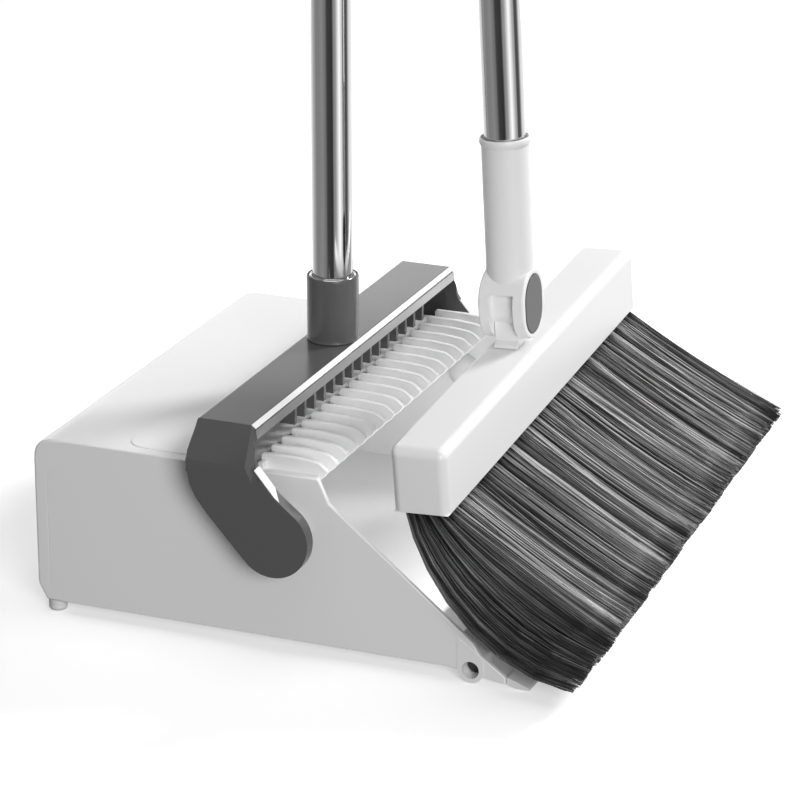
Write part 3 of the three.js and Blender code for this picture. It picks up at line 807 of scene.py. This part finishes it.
def build_socket_painted_shade_ring():
    """A dark ring down in the mouth of the brush's socket, filling the gap between the pole and the socket's
    rim: painted shade.
    """
    low, high = SOCKET_TOP - 12, SOCKET_TOP - 3.2
    painted_shade_ring = turned("brush_socket_painted_shade_ring", [
        (11.25, low), (11.6, low), (12.45, high - 0.6), (12.3, high), (11.25, high),
    ], BRUSH_FRAME, sides=72)
    smooth(painted_shade_ring)
    dress(painted_shade_ring, DARK_PLASTIC_AND_SHADE, "brush_handle", "dark_plastic")


def build_swivel_caps():
    for name, y0 in (("front", -DRUM_HALF - 0.3), ("back", DRUM_HALF - 1.1)):
        cap = bar_y(f"swivel_cap_{name}_disc", obround(12.7, 16.1, 24), y0, y0 + 1.4, BRUSH_FRAME)
        bevel(cap, 0.5, 3, 40)
        smooth(cap)
        dress(cap, CAP, "brush_handle", "grey_plastic", f"swivel_cap_{name}")


def build_tongue():
    half = SLOT_HALF - 0.3
    low = BLOCK["z1"] + 0.3
    outline = [(-13, low), (13, low), (13, low + 1.6), (9.8, low + 3.4), (9.4, -7)]
    ridges, steps = 10, 9
    for index in range(ridges * steps + 1):
        angle = math.radians(-30 + 240 * index / (ridges * steps))
        radius = TONGUE_R - 0.3 - 1.1 * abs(math.cos(math.pi * index / steps)) ** 1.5
        outline.append((radius * math.cos(angle), radius * math.sin(angle)))
    outline += [(-9.4, -7), (-9.8, low + 3.4), (-13, low + 1.6)]
    tongue = bar_y("swivel_tongue_moulding", outline, -half, half, HEAD_FRAME)
    bevel(tongue, 0.35, 2, 50)
    cut(tongue, turned("pin_hole", [(0, -20), (3.3, -20), (3.3, 20), (0, 20)], HEAD_FRAME, "Y", sides=32))
    smooth(tongue, 50)
    dress(tongue, PALE, "brush_head", "pale_plastic", "swivel_tongue")


# ------------------------------------------------------------------ the brush head
def block_edge_weight(mid, along):
    """Broad rounding on the block's ends and top edges, a tighter one along its rear; none below."""
    if mid.z < BLOCK["z0"] + 0.1:
        return 0.06
    if abs(along.x) > 0.5:
        return 0.92 if mid.y < 0 else 0.6
    return 1.0 if abs(along.y) > 0.5 else 0.85


def build_block():
    length, y0, y1, z0, z1 = BLOCK["length"], BLOCK["y0"], BLOCK["y1"], BLOCK["z0"], BLOCK["z1"]
    shell = block("brush_block_moulding", -length / 2, length / 2, y0, y1, z0, z1, HEAD_FRAME)
    weighted_bevel(shell, 5.6, 4, block_edge_weight, HEAD_FRAME)
    hollow = block("hollow", -length / 2 + WALL, length / 2 - WALL, y0 + WALL, y1 - WALL,
                   z0 - 1, z1 - WALL - 1, HEAD_FRAME)
    cut(shell, hollow)
    smooth(shell, 30)
    dress(shell, WHITE, "brush_head", "white_plastic", "brush_block")


def strand_curve(spread, t):
    """Points on the bristle sweep: spread 0 is the rearmost row and 1 the front one."""
    def mix(a, b):
        return [a[axis] + (b[axis] - a[axis]) * spread for axis in (0, 1)]
    p0 = mix((BLOCK["y1"] - 3.5, BLOCK["z0"]), (BLOCK["y0"] + 3.5, BLOCK["z0"]))
    p1 = mix((3, -92), (-30, -68))
    p2 = mix((-30, -142), (-66, -95))
    p3 = mix((-82, -145.5), (-104, -115))
    s = 1 - t
    return [s ** 3 * a + 3 * s * s * t * b + 3 * s * t * t * c + t ** 3 * d
            for a, b, c, d in zip(p0, p1, p2, p3)]


BRISTLE_ROWS = 8
TUFTS = 46
STRANDS = 88                     # in each tuft
STRAND_STEPS = 7
STRAND_SIDES = 3
BRISTLE_FAN = 0.07
ROW_STANDS_FOR = {0: ["bristles_1"], 2: ["bristles_2"], 4: ["bristles_3"], 6: ["bristles_4"]}


def strand_lines(rng, row):
    """The middle lines of one row's strands, as arrays of x, y and z, one line per strand."""
    half = BLOCK["length"] / 2 - WALL - 4.5
    tuft = np.repeat(np.arange(TUFTS), STRANDS)
    reach = rng.uniform(0.972, 1.0, TUFTS)[tuft]
    lean = rng.uniform(-0.05, 0.05, TUFTS)[tuft]
    drift = rng.normal(0, 1.1, TUFTS)[tuft]
    angle = rng.uniform(0, 2 * math.pi, len(tuft))
    radius = np.sqrt(rng.uniform(0, 1, len(tuft)))
    reach *= 1 - 0.045 * rng.uniform(0, 1, len(tuft)) ** 3
    wander = rng.normal(0, 0.6, len(tuft))
    t = np.linspace(0, 1, STRAND_STEPS + 1)[None, :] * reach[:, None]
    across = (radius * np.cos(angle))[:, None]
    along = (radius * np.sin(angle))[:, None]
    spread = (row + 0.5) / BRISTLE_ROWS + lean[:, None] * t + along * (0.04 + 0.04 * t)
    y, z = strand_curve(np.clip(spread, 0, 1), t)
    root = -half + 2 * half * (tuft + 0.5 * (row % 2)) / (TUFTS - 0.5)
    x = root[:, None] + across * (2.2 + 2.8 * t * t) + (drift + wander)[:, None] * t * t
    return x * (1 + BRISTLE_FAN * (BLOCK["z0"] - z) / 100), y, z - 0.3


def build_bristles():
    rng = np.random.default_rng(7)
    rings = STRAND_STEPS + 1
    turns = 2 * math.pi * np.arange(STRAND_SIDES) / STRAND_SIDES + 0.5
    for row in range(BRISTLE_ROWS):
        x, y, z = (line[:, :, None] for line in strand_lines(rng, row))
        count = len(x)
        thick = rng.uniform(0.20, 0.32, count)[:, None, None]
        r = thick * (1 - 0.4 * (np.arange(rings) / STRAND_STEPS) ** 4)[None, :, None]
        side = r * np.sin(turns)
        verts = np.stack([x + r * np.cos(turns), y + side * 0.8, z - side * 0.6, np.ones_like(x + side)],
                         axis=-1)
        verts = verts.reshape(-1, 4) @ np.array(HEAD_FRAME).T
        first = (np.arange(count) * rings * STRAND_SIDES)[:, None, None]
        low = first + (np.arange(STRAND_STEPS) * STRAND_SIDES)[None, :, None]
        here = low + np.arange(STRAND_SIDES)
        after = low + (np.arange(STRAND_SIDES) + 1) % STRAND_SIDES
        walls = np.stack([after, here, here + STRAND_SIDES, after + STRAND_SIDES], axis=-1).reshape(-1, 4)
        root = (first[:, 0] + np.arange(STRAND_SIDES)).tolist()
        tip = (first[:, 0] + STRAND_STEPS * STRAND_SIDES + np.arange(STRAND_SIDES)[::-1]).tolist()
        mesh = bpy.data.meshes.new(f"bristle_row_{row + 1}")
        mesh.from_pydata(verts[:, :3].tolist(), [], walls.tolist() + root + tip)
        mesh.shade_smooth()
        bristles = bpy.data.objects.new(mesh.name, mesh)
        bpy.context.collection.objects.link(bristles)
        dress(bristles, FIBRE, "brush_head", "bristle_fibre", *ROW_STANDS_FOR.get(row, []))


def build_tuft_plate():
    length, y0, y1, z0 = BLOCK["length"], BLOCK["y0"], BLOCK["y1"], BLOCK["z0"]
    inset = WALL + 0.3
    plate = block("tuft_plate_moulding", -length / 2 + inset, length / 2 - inset, y0 + inset, y1 - inset,
                  z0 + 0.4, z0 + 6, HEAD_FRAME)
    bevel(plate, 0.6, 2)
    smooth(plate)
    dress(plate, DARK_PLASTIC_AND_SHADE, "brush_head", "dark_plastic", "tuft_plate")


# ------------------------------------------------------------------ pieces kept from the CAD
KEPT = {
    "pole_plug": DARK_PLASTIC_AND_SHADE, "pole_screw": STEEL, "tongue_screw": STEEL, "swivel_pin": STEEL,
    "pan_spigot_1": DARK_PLASTIC_AND_SHADE, "pan_spigot_2": DARK_PLASTIC_AND_SHADE, "brush_spigot_1": DARK_PLASTIC_AND_SHADE, "brush_spigot_2": DARK_PLASTIC_AND_SHADE,
}


def dress_kept():
    for name, material in KEPT.items():
        data = frame["nodes"][name].data
        data.materials.clear()
        data.materials.append(material)


# ------------------------------------------------------------------ stage
def emission(name, strength):
    material = bpy.data.materials.new(name)
    material.use_nodes = True
    tree = material.node_tree
    tree.nodes.clear()
    output = tree.nodes.new("ShaderNodeOutputMaterial")
    light = tree.nodes.new("ShaderNodeEmission")
    light.inputs["Strength"].default_value = strength
    tree.links.new(light.outputs["Emission"], output.inputs["Surface"])
    return material, tree, light


FLOOR_HALF_M = 6.0
FLOOR_GLOW = 0.42                # lifts the floor to the picture's white


def build_floor():
    half = FLOOR_HALF_M
    mesh = bpy.data.meshes.new("floor")
    mesh.from_pydata([(-half, -half, 0), (half, -half, 0), (half, half, 0), (-half, half, 0)],
                     [], [(0, 1, 2, 3)])
    floor = bpy.data.objects.new("floor", mesh)
    bpy.context.collection.objects.link(floor)
    material, shader = new_material("floor_paint", (0.93, 0.93, 0.93), 0.9)
    shader.inputs["Specular IOR Level"].default_value = 0.0
    tree = material.node_tree
    grain = noise(tree, 3, 3)
    tree.links.new(tint(tree, grain, (0.92, 0.92, 0.92), (0.94, 0.94, 0.94)), shader.inputs["Base Color"])
    shader.inputs["Emission Color"].default_value = (1, 1, 1, 1)
    shader.inputs["Emission Strength"].default_value = FLOOR_GLOW
    mesh.materials.append(material)
    floor.visible_glossy = False
    floor.visible_diffuse = False


def ring(name, radius, sides, z0, z1):
    verts, faces = [], []
    for side in range(sides):
        angle = 2 * math.pi * side / sides
        verts += [(radius * math.cos(angle), radius * math.sin(angle), z) for z in (z0, z1)]
    for side in range(sides):
        after = (side + 1) % sides
        faces.append((2 * side, 2 * after, 2 * after + 1, 2 * side + 1))
    mesh = bpy.data.meshes.new(name)
    mesh.from_pydata(verts, [], faces)
    obj = bpy.data.objects.new(name, mesh)
    bpy.context.collection.objects.link(obj)
    return obj


# Brightness of the studio's wall by direction, from azimuth -180 to 180: pale walls, dark gaps
# between the soft boxes, and the brightest box in front of the pan's mouth.
TENT = [
    (-180, 0.44), (-162, 0.25), (-140, 0.26), (-124, 0.30), (-102, 0.19), (-94, 0.06), (-72, 0.04),
    (-64, 0.03), (-57, 0.28), (-46, 0.36), (-34, 0.85), (-24, 1.30), (-14, 0.95), (-3, 0.50), (5, 0.44),
    (11, 0.09), (27, 0.09), (35, 0.30), (45, 0.85), (68, 1.0), (112, 1.3), (140, 0.95), (157, 0.82),
    (172, 0.50), (180, 0.44),
]
WALL_RADIUS_M = 1.5
WALL_SIDES = 96
WALL_LOW_M, WALL_SPLIT_M, WALL_HIGH_M = -1.5, 0.25, 2.2
UPPER_WALL_GLOW = 0.30


def build_tent():
    """A ring of studio wall that only gloss sees, so that the chrome has something to mirror."""
    upper = ring("studio_wall_upper", WALL_RADIUS_M, WALL_SIDES, WALL_SPLIT_M, WALL_HIGH_M)
    upper.data.materials.append(emission("studio_wall_upper", UPPER_WALL_GLOW)[0])
    gloss_only(upper)
    tent = ring("studio_wall", WALL_RADIUS_M, WALL_SIDES, WALL_LOW_M, WALL_SPLIT_M)
    material, tree, light = emission("studio_wall", 1.0)
    nodes, links = tree.nodes, tree.links
    place = nodes.new("ShaderNodeTexCoord")
    split = nodes.new("ShaderNodeSeparateXYZ")
    links.new(place.outputs["Object"], split.inputs["Vector"])
    flip = nodes.new("ShaderNodeMath")
    flip.operation = "MULTIPLY"
    flip.inputs[1].default_value = -1
    links.new(split.outputs["Y"], flip.inputs[0])
    bearing = nodes.new("ShaderNodeMath")
    bearing.operation = "ARCTAN2"
    links.new(split.outputs["X"], bearing.inputs[0])
    links.new(flip.outputs[0], bearing.inputs[1])
    share = nodes.new("ShaderNodeMapRange")
    share.inputs["From Min"].default_value = -math.pi
    share.inputs["From Max"].default_value = math.pi
    links.new(bearing.outputs[0], share.inputs["Value"])
    shades = nodes.new("ShaderNodeValToRGB")
    stops = shades.color_ramp.elements
    top = max(value for _, value in TENT)
    stops[0].position, stops[0].color = 0, (*([TENT[0][1] / top] * 3), 1)
    stops[1].position, stops[1].color = 1, (*([TENT[-1][1] / top] * 3), 1)
    for azimuth, value in TENT[1:-1]:
        stop = stops.new((azimuth + 180) / 360)
        stop.color = (*([value / top] * 3), 1)
    links.new(share.outputs["Result"], shades.inputs["Fac"])
    links.new(shades.outputs["Color"], light.inputs["Color"])
    light.inputs["Strength"].default_value = top
    tent.data.materials.append(material)
    gloss_only(tent)


def build_card():
    """A low bright card behind the set, which only the gloss of its level faces sees."""
    azimuth, reach, half, top = math.radians(112), 1.0, 0.9, 0.475
    out = Vector((math.sin(azimuth), -math.cos(azimuth), 0))
    along = Vector((-out.y, out.x, 0))
    corners = [out * reach + along * side * half + Vector((0, 0, z)) for side, z in
               ((-1, 0.05), (1, 0.05), (1, top), (-1, top))]
    mesh = bpy.data.meshes.new("gloss_card")
    mesh.from_pydata(corners, [], [(0, 1, 2, 3)])
    card = bpy.data.objects.new("gloss_card", mesh)
    bpy.context.collection.objects.link(card)
    mesh.materials.append(emission("gloss_card", 1.8)[0])
    gloss_only(card)


def gloss_only(obj):
    obj.visible_camera = False
    obj.visible_diffuse = False
    obj.visible_shadow = False
    obj.visible_transmission = False


def area_light(name, position, target, size, energy):
    data = bpy.data.lights.new(name, "AREA")
    data.shape = "SQUARE"
    data.size = size
    data.energy = energy
    light = bpy.data.objects.new(name, data)
    light.location = position
    light.rotation_mode = "QUATERNION"
    light.rotation_quaternion = (Vector(target) - Vector(position)).to_track_quat("-Z", "Y")
    light.visible_camera = False
    bpy.context.collection.objects.link(light)
    return light


WORLD_STRENGTH = 0.16
# name, position, target (metres), side (metres), power (watts)
STUDIO_LIGHTS = [
    ("overhead", (0.0, 0.1, 2.5), (0, 0, 0.1), 1.8, 16),
    ("key", (1.20, -1.00, 1.15), (0, -0.02, 0.08), 0.5, 30),
    ("fill", (-1.72, -1.35, 0.72), (0, -0.02, 0.10), 0.9, 30),
]
MOUTH = (0, -98, 38)             # in the pan's frame, behind the parked bristles
MOUTH_LIGHT_M = (0.24, 0.05)
MOUTH_LIGHT_W = 0.13


def build_lights():
    world = bpy.data.worlds.new("studio")
    bpy.context.scene.world = world
    world.use_nodes = True
    background = world.node_tree.nodes["Background"]
    background.inputs["Color"].default_value = (1, 1, 1, 1)
    background.inputs["Strength"].default_value = WORLD_STRENGTH
    for name, position, target, size, energy in STUDIO_LIGHTS:
        area_light(name, position, target, size, energy)
    mouth = PAN_FRAME @ Vector(MOUTH)
    inside = area_light("inside", mouth, mouth + Vector((0, 1, 0.12)), MOUTH_LIGHT_M[0], MOUTH_LIGHT_W)
    inside.data.shape = "RECTANGLE"
    inside.data.size_y = MOUTH_LIGHT_M[1]
    inside.visible_glossy = False


CAMERA_AZIMUTH, CAMERA_ELEVATION = math.radians(-68.05), math.radians(20.32)
CAMERA_LENS_MM, SENSOR_MM = 157.93, 36
CAMERA_FROM_POLE_FOOT = (-1.6601, -0.7083, 0.7593)


def build_camera():
    """The photograph's view: bearing, height and distance are about the foot of the pan's pole."""
    azimuth, elevation = CAMERA_AZIMUTH, CAMERA_ELEVATION
    back = Vector((math.sin(azimuth) * math.cos(elevation), -math.cos(azimuth) * math.cos(elevation),
                   math.sin(elevation)))
    data = bpy.data.cameras.new("camera")
    data.sensor_width = SENSOR_MM
    data.lens = CAMERA_LENS_MM
    data.clip_start, data.clip_end = 0.1, 50
    camera = bpy.data.objects.new("camera", data)
    camera.rotation_mode = "QUATERNION"
    camera.rotation_quaternion = (-back).to_track_quat("-Z", "Y")
    camera.location = Vector((POLE_FOOT.x, POLE_FOOT.y, 0)) + Vector(CAMERA_FROM_POLE_FOOT)
    bpy.context.collection.objects.link(camera)
    bpy.context.scene.camera = camera


def main():
    build_camera()
    build_pan_shell()
    build_barrel_painted_shade_patches()
    build_top_panel()
    build_comb()
    build_lip()
    build_rear_feet()
    build_pivot_caps()
    build_yoke()
    build_bar_painted_highlights()
    build_arm_painted_highlights()
    build_pole_socket()
    build_pole("pan", "pan_handle", (128.2, 350, 560, 760), PAN_FRAME)
    build_clip()
    build_brush_socket()
    build_socket_painted_shade_ring()
    build_swivel_caps()
    build_tongue()
    build_block()
    build_tuft_plate()
    build_bristles()
    build_pole("brush", "brush_handle", (23, 240, 455, 650), BRUSH_FRAME)
    dress_kept()
    build_floor()
    build_tent()
    build_card()
    build_lights()
    bpy.context.scene.view_settings.view_transform = "Standard"


main()
